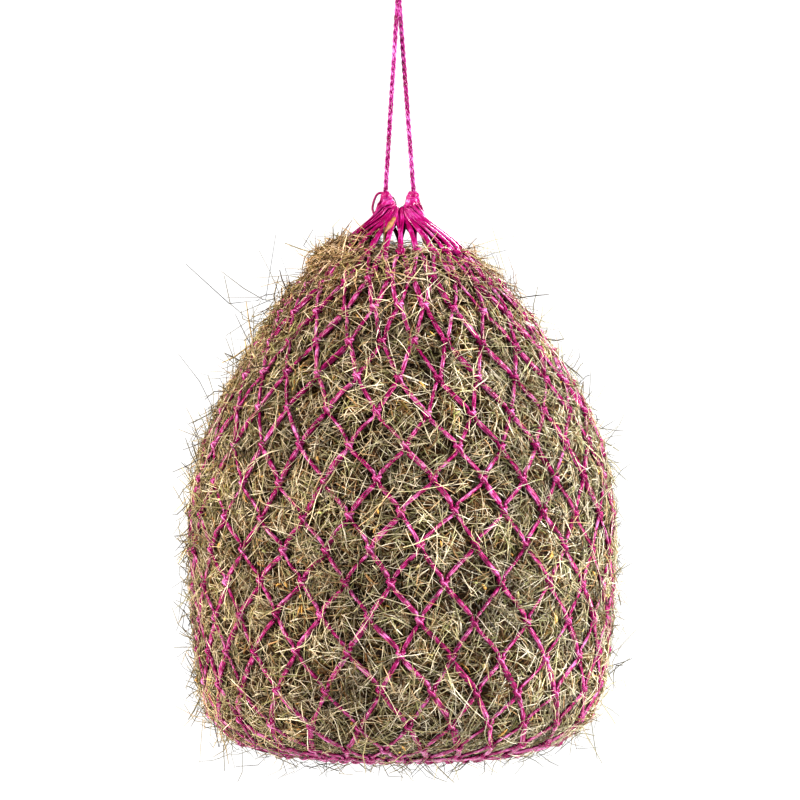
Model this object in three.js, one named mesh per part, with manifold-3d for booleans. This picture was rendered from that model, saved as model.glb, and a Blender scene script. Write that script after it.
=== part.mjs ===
// A hay net: a bag of knotted twine full of hay, hung from the loop of its drawcord.
// Millimetres, +Z up, +X to the right, -Y towards the viewer. The origin is the point where a
// hook bears inside the top of the hanging loop.
import * as THREE from 'three';
import { mergeVertices } from 'three/addons/utils/BufferGeometryUtils.js';
import Module from 'manifold-3d';

const wasm = await Module();
wasm.setup();

// ---------------------------------------------------------------- driving dimensions
const GAP = 0.3; // between pieces that touch
const ROW_GAP = 1.1; // between the rows of netting, where they meet at a knot
const MESHES_ROUND = 26; // diamonds in one row round the bag
const BAR = 50; // twine from one knot to the next
const TWINE_RADIUS = 2;
const DEPTH_RATIO = 0.92; // front to back size of the bag, against its width
const RIGHT_SWELL = 0.055; // how much further out the right side is at SWELL_HEIGHT
const SWELL_HEIGHT = -630;
const SWELL_REACH = 130;
const SMALLEST_ROW_RADIUS = 45; // where the rows end and the underside is gathered
const HAY_CLEARANCE = 10; // hay surface to net surface, so that straight bars pass clear

const CORD_RADIUS = 2.75;
const CORD_SIDES = 10;
const KNOT_TOP = -49;
const KNOT_MIDDLE = -60;
const LOOP_HALF_SPREAD = 3.2; // the two sides of the loop, where they enter the knot
const SWING_CENTRE = new THREE.Vector3(-2, 0, -75); // where the legs leave the knot
const LEGS_APART = 3; // each leg from the middle, front to back, at the knot
const ROCK_HEIGHT = -316; // where the legs reach the gathered mouth
const LEG_STEPS = 16;

const SLEEVE_RADIUS = 7; // the crowded twine loops round the drawcord
const GATHER_RADIUS = 8; // ring of the cord that closes the underside
const GATHER_CORD_RADIUS = 2.5;
const PUCKER_RADIUS = 32; // where the bars of the underside come apart

// ---------------------------------------------------------------- routes and outlines
const toVectors = (list) => list.map(([x, y, z]) => new THREE.Vector3(x, y, z));

// hanging loop, from the knot up over the hook and back
const LOOP_ROUTE = new THREE.CatmullRomCurve3(toVectors([
  [-LOOP_HALF_SPREAD, 0, KNOT_TOP + GAP],
  [-3.6, 0, -43],
  [-9, 0, -30],
  [-12, 0, -15],
  [-9, 0, -2.5],
  [0, 0, CORD_RADIUS],
  [9, 0, -2.5],
  [12, 0, -15],
  [9, 0, -30],
  [3.6, 0, -43],
  [LOOP_HALF_SPREAD, 0, KNOT_TOP + GAP],
]));

// the cut ends of the drawcord, from the knot outwards
const TAIL_ROUTES = [
  [[4, -2, -58], [14, -3, -60], [21, -4, -66], [24, -4, -75]],
  [[-4, 2, -62], [-13, 3, -61], [-20, 5, -65], [-24, 6, -73]],
].map((points) => new THREE.CatmullRomCurve3(toVectors(points)));

// the drawcord through the loops of the mouth, from the left leg to the right leg
const MOUTH_ROUTE = new THREE.CatmullRomCurve3(toVectors([
  [-17.2, 0, ROCK_HEIGHT],
  [-16.8, 0, -325],
  [-13.4, 0, -336],
  [-6.6, 0, -343],
  [1, 0, -345],
  [8, 0, -342.4],
  [13.4, 0, -335],
  [15.8, 0, -325],
  [16, 0, ROCK_HEIGHT],
]));

// a loop of the net that has slipped up round the drawcord and stands slack behind it
const SLACK_ROUTE = new THREE.CatmullRomCurve3(toVectors([
  [-29.5, 4, -349],
  [-33, 6, -341],
  [-31.5, 7, -331],
  [-27.5, 8, -322.5],
  [-21.5, 9, -320.5],
  [-13.5, 9, -322],
  [-8, 7, -328],
  [-4.6, 4, -337],
]));

// the net's outline from its first knots, over the belly, to the middle of the underside
const NET_OUTLINE = new THREE.SplineCurve([
  [82, -398],
  [138, -456],
  [187, -534],
  [228, -621],
  [249, -712],
  [251, -796],
  [243, -878],
  [229, -936],
  [196, -973],
  [140, -991],
  [70, -997],
  [12, -997],
].map(([radius, height]) => new THREE.Vector2(radius, height)));
const OUTLINE_LENGTH = NET_OUTLINE.getLength();

// the hay's own top, inside the cone of twine below the mouth
const HAY_TOP = [[0, -382], [34, -388], [60, -401]];

// ---------------------------------------------------------------- solids and meshes
const twineMaterial = { color: 0xd6117f, roughness: 0.45, metalness: 0 };
const cordMaterial = { color: 0xc4106f, roughness: 0.55, metalness: 0 };
const hayMaterial = { color: 0x8a7a48, roughness: 0.9, metalness: 0 };

const hayNet = new THREE.Group();

function add(name, geometry, material) {
  const mesh = new THREE.Mesh(geometry, new THREE.MeshStandardMaterial(material));
  mesh.name = name;
  hayNet.add(mesh);
}

function closed(geometry) {
  geometry.deleteAttribute('normal');
  geometry.deleteAttribute('uv');
  return mergeVertices(geometry, 1e-4);
}

function solid(geometry) {
  const merged = closed(geometry);
  return new wasm.Manifold(new wasm.Mesh({
    numProp: 3,
    vertProperties: new Float32Array(merged.attributes.position.array),
    triVerts: new Uint32Array(merged.index.array),
  }));
}

function fromSolid(manifold) {
  const { vertProperties, triVerts } = manifold.getMesh();
  const geometry = new THREE.BufferGeometry();
  geometry.setAttribute('position', new THREE.BufferAttribute(new Float32Array(vertProperties), 3));
  geometry.setIndex(new THREE.BufferAttribute(new Uint32Array(triVerts), 1));
  return geometry;
}

function section(radius, sides) {
  const corners = Array.from({ length: sides }, (_, corner) => {
    const angle = (2 * Math.PI * (corner + 0.5)) / sides;
    return new THREE.Vector2(radius * Math.cos(angle), radius * Math.sin(angle));
  });
  return new THREE.Shape(corners);
}

function tube(route, radius, sides, steps) {
  return new THREE.ExtrudeGeometry(section(radius, sides), { steps, extrudePath: route });
}

// a straight twine between two points
function strand(from, to, radius, sides) {
  const along = to.clone().sub(from);
  const geometry = new THREE.CylinderGeometry(radius, radius, along.length(), sides, 1);
  const up = new THREE.Vector3(0, 1, 0);
  geometry.applyQuaternion(new THREE.Quaternion().setFromUnitVectors(up, along.normalize()));
  const middle = from.clone().add(to).multiplyScalar(0.5);
  return geometry.translate(middle.x, middle.y, middle.z);
}

// ---------------------------------------------------------------- the bag's surface
// The packed hay is not quite round: it has broad, shallow lumps, and its right side swells out.
function bagPoint(radius, height, angle) {
  const lump = 0.014 * Math.sin(2 * angle + height / 95) + 0.01 * Math.sin(3 * angle - height / 60);
  const rightward = ((1 + Math.cos(angle)) / 2) ** 2;
  const swell = RIGHT_SWELL * rightward * Math.exp(-(((height - SWELL_HEIGHT) / SWELL_REACH) ** 2));
  const spread = radius * (1 + lump + swell);
  return new THREE.Vector3(
    spread * Math.cos(angle),
    DEPTH_RATIO * spread * Math.sin(angle),
    height,
  );
}

// a point on the net's surface, by the distance down the outline from the first knots
function surfacePoint(distance, angle) {
  const share = THREE.MathUtils.clamp(distance / OUTLINE_LENGTH, 0, 1);
  const { x: radius, y: height } = NET_OUTLINE.getPointAt(share);
  return bagPoint(radius, height, angle);
}

const meanRadius = (distance) => {
  const share = Math.min(distance / OUTLINE_LENGTH, 1);
  return (NET_OUTLINE.getPointAt(share).x * (1 + DEPTH_RATIO)) / 2;
};

// The rows of knots, spaced so that every bar keeps its length as the bag widens.
const halfMesh = (distance) => (Math.PI * meanRadius(distance)) / MESHES_ROUND;
const KNOT_ROWS = [0];
const nextRow = (distance) => distance + Math.sqrt(BAR ** 2 - halfMesh(distance + BAR / 2) ** 2);
while (meanRadius(nextRow(KNOT_ROWS.at(-1))) > SMALLEST_ROW_RADIUS) {
  KNOT_ROWS.push(nextRow(KNOT_ROWS.at(-1)));
}

// Hand-filled hay pulls the knots a little out of line.
const MESH_ANGLE = (2 * Math.PI) / MESHES_ROUND;
const BACK = Math.PI / 2;

function knotPlace(row, angle) {
  const turn = 0.028 * Math.sin(3 * angle + 0.9 * row) + 0.018 * Math.sin(5 * angle - 0.7 * row);
  const slide = 4 * Math.sin(2 * angle + 0.8 * row) + 2.5 * Math.sin(4 * angle - 1.1 * row);
  const free = row > 0 && row < KNOT_ROWS.length - 1 ? 1 : 0;
  return { distance: KNOT_ROWS[row] + free * slide, angle: angle + turn };
}

// ---------------------------------------------------------------- netting
// One row of netting is a closed zigzag of twine: its peaks hang in the row above and its
// valleys carry the row below. TorusGeometry gives the closed ring, one corner to a segment.
const RING_SIDES = 4;

function netRow(row) {
  const corners = 2 * MESHES_ROUND;
  const half = halfMesh((KNOT_ROWS[row] + KNOT_ROWS[row + 1]) / 2);
  const pitch = KNOT_ROWS[row + 1] - KNOT_ROWS[row];
  // at a corner the mitred twine is taller than it is wide, the more so the steeper its bars
  let mitre = TWINE_RADIUS;
  for (let pass = 0; pass < 12; pass += 1) {
    mitre = (TWINE_RADIUS * Math.hypot(half, pitch - 2 * mitre)) / half;
  }
  const geometry = new THREE.TorusGeometry(1, 0.5, RING_SIDES, corners);
  const { position } = geometry.attributes;
  const nudge = 0.01;
  for (let corner = 0; corner <= corners; corner += 1) {
    const lower = corner % 2;
    const nominal = BACK + (MESH_ANGLE * ((corner % corners) + (row % 2))) / 2;
    const knot = knotPlace(row + lower, nominal);
    const distance = knot.distance + (lower ? -1 : 1) * (mitre + ROW_GAP / 2);
    const centre = surfacePoint(distance, knot.angle);
    const up = surfacePoint(distance - 1, knot.angle).sub(surfacePoint(distance + 1, knot.angle));
    up.normalize();
    const around = surfacePoint(distance, knot.angle + nudge);
    around.sub(surfacePoint(distance, knot.angle - nudge)).normalize();
    const outward = new THREE.Vector3().crossVectors(around, up);
    for (let side = 0; side <= RING_SIDES; side += 1) {
      const turn = (2 * Math.PI * side) / RING_SIDES;
      const place = centre.clone()
        .addScaledVector(outward, TWINE_RADIUS * Math.cos(turn))
        .addScaledVector(up, mitre * Math.sin(turn));
      position.setXYZ(side * (corners + 1) + corner, place.x, place.y, place.z);
    }
  }
  return closed(geometry);
}

// The mouth: crowded loops form a sleeve round the drawcord, and two strands of each loop
// run down to the first knots. Loops follow each other round the bag from the back, by the
// left side and the front, as they follow each other along the drawcord.
const STRAND_SIDES = 4;
const SLEEVE_ENDS = [0.12, 0.88]; // shares of the mouth route

function mouthRow() {
  const [first, last] = SLEEVE_ENDS;
  const sleevePoints = Array.from({ length: 9 }, (_, step) => {
    return MOUTH_ROUTE.getPointAt(first + ((last - first) * step) / 8);
  });
  const sleeveRoute = new THREE.CatmullRomCurve3(sleevePoints);
  let row = solid(tube(sleeveRoute, SLEEVE_RADIUS, 10, 12));
  const sink = new THREE.Vector3(0, 0, -3.5);
  for (let loop = 0; loop < MESHES_ROUND; loop += 1) {
    const start = sleeveRoute.getPointAt((loop + 0.5) / MESHES_ROUND).add(sink);
    for (const side of [0, 1]) {
      const knot = knotPlace(0, BACK + MESH_ANGLE * (loop + side));
      const end = surfacePoint(0, knot.angle);
      const way = end.clone().sub(start).normalize();
      end.addScaledVector(way, -2 * TWINE_RADIUS);
      row = row.add(solid(strand(start, end, TWINE_RADIUS, STRAND_SIDES)));
    }
  }
  row = row.add(solid(tube(SLACK_ROUTE, 0.8 * TWINE_RADIUS, 6, 14)));
  const bore = solid(tube(MOUTH_ROUTE, CORD_RADIUS + GAP, CORD_SIDES, 16));
  return fromSolid(row.subtract(bore));
}

// The underside: the last bars close up into a flat pucker round the gathering cord.
function bottomRow() {
  const lastRow = KNOT_ROWS.length - 1;
  const height = surfacePoint(KNOT_ROWS[lastRow], 0).z;
  const inner = GATHER_RADIUS + GATHER_CORD_RADIUS + GAP;
  const pucker = new THREE.LatheGeometry([
    [inner, -1],
    [PUCKER_RADIUS, -TWINE_RADIUS],
    [PUCKER_RADIUS, TWINE_RADIUS],
    [inner, 5],
    [inner, -1],
  ].map(([radius, rise]) => new THREE.Vector2(radius, rise)), MESHES_ROUND);
  pucker.rotateX(Math.PI / 2);
  pucker.scale(1, DEPTH_RATIO, 1);
  pucker.translate(0, 0, height);
  let row = solid(pucker);
  for (let mesh = 0; mesh < MESHES_ROUND; mesh += 1) {
    const nominal = BACK + MESH_ANGLE * (mesh + (lastRow % 2) / 2);
    const knot = knotPlace(lastRow, nominal);
    const rim = surfacePoint(KNOT_ROWS[lastRow], knot.angle);
    for (const side of [-0.5, 0.5]) {
      const end = bagPoint(PUCKER_RADIUS - 2, height, nominal + side * MESH_ANGLE);
      const way = rim.clone().sub(end).normalize();
      const start = rim.clone().addScaledVector(way, -2 * TWINE_RADIUS);
      row = row.add(solid(strand(end, start, TWINE_RADIUS, STRAND_SIDES)));
    }
  }
  return fromSolid(row);
}

function bottomGatherCord() {
  const height = surfacePoint(KNOT_ROWS.at(-1), 0).z;
  const ring = new THREE.TorusGeometry(GATHER_RADIUS, GATHER_CORD_RADIUS, 8, 20);
  ring.scale(1, DEPTH_RATIO, 1);
  const knot = new THREE.SphereGeometry(1.7 * GATHER_CORD_RADIUS, 10, 8);
  knot.translate(0, -GATHER_RADIUS * DEPTH_RATIO + 4, -2.5);
  return fromSolid(solid(ring).add(solid(knot))).translate(0, 0, height + 1);
}

// ---------------------------------------------------------------- hay
function hayFill() {
  const steps = 18;
  const points = HAY_TOP.map(([radius, height]) => new THREE.Vector2(radius, height));
  for (let step = 1; step <= steps; step += 1) {
    const share = step / steps;
    const on = NET_OUTLINE.getPointAt(share);
    const along = NET_OUTLINE.getTangentAt(share);
    points.push(new THREE.Vector2(on.x + along.y * HAY_CLEARANCE, on.y - along.x * HAY_CLEARANCE));
  }
  points.at(-1).x = 0;
  points.reverse();
  const geometry = new THREE.LatheGeometry(points, 30);
  geometry.rotateX(Math.PI / 2);
  const { position } = geometry.attributes;
  for (let index = 0; index < position.count; index += 1) {
    const radius = Math.hypot(position.getX(index), position.getY(index));
    const angle = Math.atan2(position.getY(index), position.getX(index));
    const place = bagPoint(radius, position.getZ(index), angle);
    position.setXYZ(index, place.x, place.y, place.z);
  }
  return fromSolid(solid(geometry));
}

// ---------------------------------------------------------------- drawcord
// An overhand knot in the doubled cord: a tight lump of crossing turns, the two legs coming
// out below it with round ends, and the two cut tails beside it.
function loopKnot() {
  const core = new THREE.SphereGeometry(1, 14, 10).scale(7.5, 6.5, 9).translate(0, 0, KNOT_MIDDLE);
  let knot = solid(core);
  const turns = [
    { radius: 6.5, tilt: 0.5, height: KNOT_MIDDLE - 3.5 },
    { radius: 7, tilt: -0.35, height: KNOT_MIDDLE + 2.5 },
  ];
  for (const { radius, tilt, height } of turns) {
    const turn = new THREE.TorusGeometry(radius, CORD_RADIUS, 8, 16);
    turn.rotateY(tilt).translate(0, 0, height);
    knot = knot.add(solid(turn));
  }
  const collar = new THREE.CylinderGeometry(6.2, 6.2, 8, 16).rotateX(Math.PI / 2);
  knot = knot.add(solid(collar.translate(0, 0, KNOT_TOP - 4)));
  for (const side of [-1, 1]) {
    const end = SWING_CENTRE.clone().setY(side * LEGS_APART);
    const start = end.clone().setZ(KNOT_MIDDLE);
    knot = knot.add(solid(strand(start, end, CORD_RADIUS, CORD_SIDES)));
    knot = knot.add(solid(new THREE.SphereGeometry(CORD_RADIUS, 12, 8).translate(...end.toArray())));
  }
  for (const route of TAIL_ROUTES) {
    knot = knot.add(solid(tube(route, CORD_RADIUS, 8, 6)));
  }
  return fromSolid(knot);
}

// A leg runs taut from the knot to the mouth. Its flat ends face the round ends of its
// neighbours, so that it can turn there.
function leg(side, mouthEnd) {
  const top = SWING_CENTRE.clone().setY(side * LEGS_APART);
  const way = mouthEnd.clone().sub(top).normalize();
  top.addScaledVector(way, CORD_RADIUS + GAP);
  const bottom = mouthEnd.clone().addScaledVector(way, -CORD_RADIUS - GAP);
  return tube(new THREE.LineCurve3(top, bottom), CORD_RADIUS, CORD_SIDES, LEG_STEPS);
}

function mouthRun() {
  let run = solid(tube(MOUTH_ROUTE, CORD_RADIUS, CORD_SIDES, 16));
  for (const share of [0, 1]) {
    const end = MOUTH_ROUTE.getPointAt(share);
    run = run.add(solid(new THREE.SphereGeometry(CORD_RADIUS, 12, 8).translate(...end.toArray())));
  }
  return fromSolid(run);
}

// ---------------------------------------------------------------- assembly
add('hanging_loop', tube(LOOP_ROUTE, CORD_RADIUS, CORD_SIDES, 24), cordMaterial);
add('loop_knot', loopKnot(), cordMaterial);
add('drawcord_left_leg', leg(-1, MOUTH_ROUTE.getPointAt(0)), cordMaterial);
add('drawcord_right_leg', leg(1, MOUTH_ROUTE.getPointAt(1)), cordMaterial);
add('drawcord_mouth_run', mouthRun(), cordMaterial);
add('mouth_row', mouthRow(), twineMaterial);
for (let row = 0; row < KNOT_ROWS.length - 1; row += 1) {
  add(`net_row_${String(row + 1).padStart(2, '0')}`, netRow(row), twineMaterial);
}
add('bottom_row', bottomRow(), twineMaterial);
add('bottom_gather_cord', bottomGatherCord(), twineMaterial);
add('hay_fill', hayFill(), hayMaterial);

export default hayNet;
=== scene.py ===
import math

import bpy
import numpy as np
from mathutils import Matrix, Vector


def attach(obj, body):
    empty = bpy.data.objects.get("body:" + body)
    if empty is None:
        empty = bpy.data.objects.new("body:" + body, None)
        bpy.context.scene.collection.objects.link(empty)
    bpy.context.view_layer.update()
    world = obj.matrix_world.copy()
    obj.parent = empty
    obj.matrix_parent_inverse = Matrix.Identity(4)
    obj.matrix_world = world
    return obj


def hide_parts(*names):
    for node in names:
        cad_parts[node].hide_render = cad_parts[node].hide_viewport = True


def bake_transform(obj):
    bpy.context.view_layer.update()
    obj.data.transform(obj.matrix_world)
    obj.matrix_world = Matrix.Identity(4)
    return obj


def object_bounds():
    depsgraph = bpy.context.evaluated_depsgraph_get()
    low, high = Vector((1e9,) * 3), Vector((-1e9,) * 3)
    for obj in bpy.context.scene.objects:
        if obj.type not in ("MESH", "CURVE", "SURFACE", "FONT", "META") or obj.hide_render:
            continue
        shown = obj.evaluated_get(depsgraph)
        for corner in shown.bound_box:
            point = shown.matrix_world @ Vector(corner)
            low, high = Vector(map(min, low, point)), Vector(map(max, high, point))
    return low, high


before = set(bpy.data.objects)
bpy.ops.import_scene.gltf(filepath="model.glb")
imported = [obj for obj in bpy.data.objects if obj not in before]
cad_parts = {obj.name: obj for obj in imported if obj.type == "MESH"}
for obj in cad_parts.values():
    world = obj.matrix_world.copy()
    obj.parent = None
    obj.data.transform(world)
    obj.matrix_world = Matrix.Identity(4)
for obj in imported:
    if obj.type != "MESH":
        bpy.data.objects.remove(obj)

cad_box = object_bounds()
MM = 0.001

# ---------------------------------------------------------------- dimensions shared with the frame
MESHES_ROUND = 26  # diamonds in one row round the bag
BAR = 50  # twine from one knot to the next
DEPTH_RATIO = 0.92  # front to back size of the bag, against its width
BROAD_LUMP = 0.014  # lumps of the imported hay, as shares of the radius
SMALL_LUMP = 0.01
RIGHT_SWELL = 0.055  # how much further out the right side is at SWELL_HEIGHT
SWELL_HEIGHT = -630
SWELL_REACH = 130
SMALLEST_ROW_RADIUS = 45  # where the rows end and the underside is gathered
CORD_RADIUS = 2.75
KNOT_MIDDLE = -60
SWING_CENTRE = (-2, 0, -75)  # where the legs leave the knot
LEGS_APART = 3  # each leg from the middle, front to back, at the knot
ROCK_HEIGHT = -316  # where the legs reach the gathered mouth
BACK = math.pi / 2
MESH_ANGLE = 2 * math.pi / MESHES_ROUND

LOOP_ROUTE = [
    (-3.2, 0, -48.7), (-3.6, 0, -43), (-9, 0, -30), (-12, 0, -15), (-9, 0, -2.5),
    (0, 0, 2.75), (9, 0, -2.5), (12, 0, -15), (9, 0, -30), (3.6, 0, -43),
    (3.2, 0, -48.7),
]
TAIL_ROUTES = [
    [(4, -2, -58), (14, -3, -60), (21, -4, -66), (24, -4, -75)],
    [(-4, 2, -62), (-13, 3, -61), (-20, 5, -65), (-24, 6, -73)],
]
MOUTH_ROUTE = [
    (-17.2, 0, ROCK_HEIGHT),
    (-16.8, 0, -325),
    (-13.4, 0, -336),
    (-6.6, 0, -343),
    (1, 0, -345),
    (8, 0, -342.4),
    (13.4, 0, -335),
    (15.8, 0, -325),
    (16, 0, ROCK_HEIGHT),
]
SLACK_ROUTE = [
    (-29.5, 4, -349), (-33, 6, -341), (-31.5, 7, -331), (-27.5, 8, -322.5),
    (-21.5, 9, -320.5), (-13.5, 9, -322), (-8, 7, -328), (-4.6, 4, -337),
]
NET_OUTLINE = [
    (82, -398), (138, -456), (187, -534), (228, -621), (249, -712), (251, -796),
    (243, -878), (229, -936), (196, -973), (140, -991), (70, -997), (12, -997),
]
HAY_TOP = [(1, -387), (30, -388), (60, -392), (82, -398)]


# ---------------------------------------------------------------- curves
def spline(points, steps=24):
    """A smooth curve through the points, sampled steps times between each two of them."""
    points = np.asarray(points, float)
    padded = np.vstack([points[:1], points, points[-1:]])
    t = np.linspace(0, 1, steps, endpoint=False)[:, None]
    parts = []
    for before, first, second, after in zip(padded, padded[1:], padded[2:], padded[3:]):
        leaving = (second - before) / 2
        arriving = (after - first) / 2
        cubic = 2 * first - 2 * second + leaving + arriving
        square = -3 * first + 3 * second - 2 * leaving - arriving
        parts.append(cubic * t**3 + square * t**2 + leaving * t + first)
    return np.vstack([*parts, points[-1:]])


def distances(points):
    return np.concatenate([[0], np.cumsum(np.linalg.norm(np.diff(points, axis=0), axis=1))])


def evenly(points, count):
    """The same curve as count points at equal spacing."""
    points = np.asarray(points, float)
    along = distances(points)
    wanted = np.linspace(0, along[-1], count)
    return np.stack([np.interp(wanted, along, points[:, axis]) for axis in range(3)], axis=1)


def unit(vectors):
    return vectors / np.maximum(np.linalg.norm(vectors, axis=-1, keepdims=True), 1e-9)


# ---------------------------------------------------------------- the bag's surface
outline = spline(NET_OUTLINE, 40)
dome = spline(HAY_TOP, 20)
dome_at = distances(dome) - distances(dome)[-1]

# Distances along the profile are 0 at the first row of knots, less on the dome of hay in the mouth
# and more down the side. An angle is 0 at the right, and goes round by the back to the left.
PROFILE = np.vstack([dome[:-1], outline])
PROFILE_AT = np.concatenate([dome_at[:-1], distances(outline)])
TOP_CENTRE = PROFILE_AT[0]
AXIS_STEP = 4.0
AXIS_TURN = 0.01


def radius_at(distance):
    return np.interp(distance, PROFILE_AT, PROFILE[:, 0])


def height_at(distance):
    return np.interp(distance, PROFILE_AT, PROFILE[:, 1])


def bag_point(radius, height, angle):
    """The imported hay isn't quite round: it has shallow lumps, and its right side swells out."""
    lump = BROAD_LUMP * np.sin(2 * angle + height / 95) + SMALL_LUMP * np.sin(3 * angle - height / 60)
    rightward = ((1 + np.cos(angle)) / 2) ** 2
    swell = RIGHT_SWELL * rightward * np.exp(-(((height - SWELL_HEIGHT) / SWELL_REACH) ** 2))
    spread = radius * (1 + lump + swell)
    return np.stack(
        [spread * np.cos(angle), DEPTH_RATIO * spread * np.sin(angle), height + 0 * spread],
        axis=-1,
    )


def surface_point(distance, angle):
    return bag_point(radius_at(distance), height_at(distance), angle)


def surface_axes(distance, angle):
    """Unit vectors round the bag, up its side and out of it."""
    above, below = (surface_point(distance + step, angle) for step in (-AXIS_STEP, AXIS_STEP))
    behind, ahead = (surface_point(distance, angle + turn) for turn in (-AXIS_TURN, AXIS_TURN))
    up = unit(above - below)
    around = unit(ahead - behind)
    outward = unit(np.cross(around, up))
    return around, unit(np.cross(outward, around)), outward


def mean_radius(distance):
    return radius_at(distance) * (1 + DEPTH_RATIO) / 2


def next_row(distance):
    half = math.pi * mean_radius(distance + BAR / 2) / MESHES_ROUND
    return distance + math.sqrt(BAR**2 - half**2)


KNOT_ROWS = [0.0]
while mean_radius(next_row(KNOT_ROWS[-1])) > SMALLEST_ROW_RADIUS:
    KNOT_ROWS.append(next_row(KNOT_ROWS[-1]))
LAST_ROW = len(KNOT_ROWS) - 1


BROAD_TURN = 0.028
SMALL_TURN = 0.018
BROAD_SLIDE = 4
SMALL_SLIDE = 2.5


def knot_turn(row, angle):
    """How far a knot strays round the bag, in radians."""
    return BROAD_TURN * np.sin(3 * angle + 0.9 * row) + SMALL_TURN * np.sin(5 * angle - 0.7 * row)


def knot_slide(row, angle):
    """How far a knot strays down the bag: the first and the last row lie level."""
    free = (row > 0) & (row < LAST_ROW)
    broad = BROAD_SLIDE * np.sin(2 * angle + 0.8 * row)
    return free * (broad + SMALL_SLIDE * np.sin(4 * angle - 1.1 * row))


def knot_places(row):
    """Distance down the outline and angle of the knots of one row, from the back of the bag."""
    nominal = BACK + MESH_ANGLE * (np.arange(MESHES_ROUND) + (row % 2) / 2)
    return KNOT_ROWS[row] + knot_slide(row, nominal), nominal + knot_turn(row, nominal)


# ---------------------------------------------------------------- meshes
LAYER_KINDS = {1: ("FLOAT", "value"), 3: ("FLOAT_VECTOR", "vector"), 4: ("FLOAT_COLOR", "color")}


def make_piece(name, points, faces, **layers):
    """An object from points in millimetres, groups of faces and named values for each point.

    Each group of faces has its own corner count. A layer is one number, a vector or a colour.
    """
    mesh = bpy.data.meshes.new(name)
    mesh.vertices.add(len(points))
    mesh.vertices.foreach_set("co", (np.asarray(points) * MM).astype(np.float32).ravel())
    corners = np.concatenate([group.ravel() for group in faces])
    sizes = np.concatenate([np.full(len(group), group.shape[1]) for group in faces])
    mesh.loops.add(len(corners))
    mesh.loops.foreach_set("vertex_index", corners.astype(np.int32))
    mesh.polygons.add(len(sizes))
    starts = np.concatenate([[0], np.cumsum(sizes)[:-1]])
    mesh.polygons.foreach_set("loop_start", starts.astype(np.int32))
    mesh.polygons.foreach_set("use_smooth", np.full(len(sizes), True))
    for layer, values in layers.items():
        kind, field = LAYER_KINDS[1 if values.ndim == 1 else values.shape[1]]
        made = mesh.attributes.new(layer, kind, "POINT")
        made.data.foreach_set(field, values.astype(np.float32).ravel())
    mesh.update(calc_edges=True)
    piece = bpy.data.objects.new(name, mesh)
    bpy.context.scene.collection.objects.link(piece)
    return piece


def sweep(paths, outward, width, thickness, sides, turned=0.0):
    """Closed tubes along many paths at once.

    paths is (tubes, rings, 3). outward is one direction, or one for each tube or ring, and turned
    rolls the section away from it. width and thickness are its half sizes. Returns the points, the
    faces and, for each point, the distance along its tube and the cosine and sine of its place
    round it.
    """
    tubes, rings, _ = paths.shape
    along = unit(np.gradient(paths, axis=1))
    out = unit(outward - (outward * along).sum(-1, keepdims=True) * along)
    side = np.cross(out, along)
    roll = np.broadcast_to(turned, (tubes, rings))[..., None]
    out, side = out * np.cos(roll) + side * np.sin(roll), side * np.cos(roll) - out * np.sin(roll)
    turn = 2 * math.pi * (np.arange(sides) + 0.5) / sides
    cosine = np.broadcast_to(np.cos(turn)[:, None], (tubes, rings, sides, 1))
    sine = np.broadcast_to(np.sin(turn)[:, None], (tubes, rings, sides, 1))
    width = np.broadcast_to(width, (tubes, rings))[..., None, None]
    thickness = np.broadcast_to(thickness, (tubes, rings))[..., None, None]
    points = paths[:, :, None] + width * cosine * side[:, :, None]
    points = points + thickness * sine * out[:, :, None]
    index = np.arange(tubes * rings * sides).reshape(tubes, rings, sides)
    after = np.roll(index, -1, axis=2)
    quads = np.stack([index[:, :-1], after[:, :-1], after[:, 1:], index[:, 1:]], axis=-1)
    steps = np.linalg.norm(np.diff(paths, axis=1), axis=-1)
    run = np.concatenate([np.zeros((tubes, 1)), np.cumsum(steps, axis=1)], axis=1)
    run = np.broadcast_to(run[..., None, None], cosine.shape)
    lay = np.concatenate([run, cosine, sine], axis=-1).reshape(-1, 3)
    ends = index[:, 0, ::-1], index[:, -1]
    faces = [quads.reshape(-1, 4), *ends]
    return points.reshape(-1, 3), faces, lay


class Gathered:
    """Several sweeps joined into one piece, with painted shading for each point: painted shade that
    grows with how deep in a plait or knot the point lies, and a painted highlight or shade on bars.
    """

    def __init__(self):
        self.points = []
        self.faces = []
        self.lay = []
        self.crease = []
        self.count = 0

    def add(self, swept, crease=None):
        points, faces, lay = swept
        self.points.append(points)
        self.faces += [group + self.count for group in faces]
        self.lay.append(lay)
        self.crease.append(np.zeros(len(points)) if crease is None else crease)
        self.count += len(points)

    def piece(self, name):
        return make_piece(
            name, np.vstack(self.points), self.faces,
            lay=np.vstack(self.lay), crease=np.concatenate(self.crease),
        )


# ---------------------------------------------------------------- camera and light, in metres
CAMERA_DISTANCE = 6.0
CAMERA_HEIGHT = -0.700
VIEW_MIDDLE = -0.570
VIEW_WIDTH = 0.960
SENSOR = 36.0
AMBIENT = 0.085  # light from all round, against the white that the camera sees


def aim(thing, place, target):
    thing.location = place
    thing.rotation_euler = (Vector(target) - Vector(place)).to_track_quat("-Z", "Y").to_euler()
    bpy.context.scene.collection.objects.link(thing)


camera_data = bpy.data.cameras.new("camera")
camera_data.sensor_width = SENSOR
camera_data.lens = SENSOR * CAMERA_DISTANCE / VIEW_WIDTH
camera = bpy.data.objects.new("camera", camera_data)
aim(camera, (0, -CAMERA_DISTANCE, CAMERA_HEIGHT), (0, 0, VIEW_MIDDLE))
bpy.context.scene.camera = camera
bpy.context.scene.view_settings.view_transform = "Standard"
bpy.context.scene.view_settings.look = "Medium High Contrast"


def soft_light(name, place, size, power, colour=(1, 1, 1)):
    data = bpy.data.lights.new(name, "AREA")
    data.shape = "DISK"
    data.size = size
    data.energy = power
    data.color = colour
    aim(bpy.data.objects.new(name, data), place, (0, 0, VIEW_MIDDLE))


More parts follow.
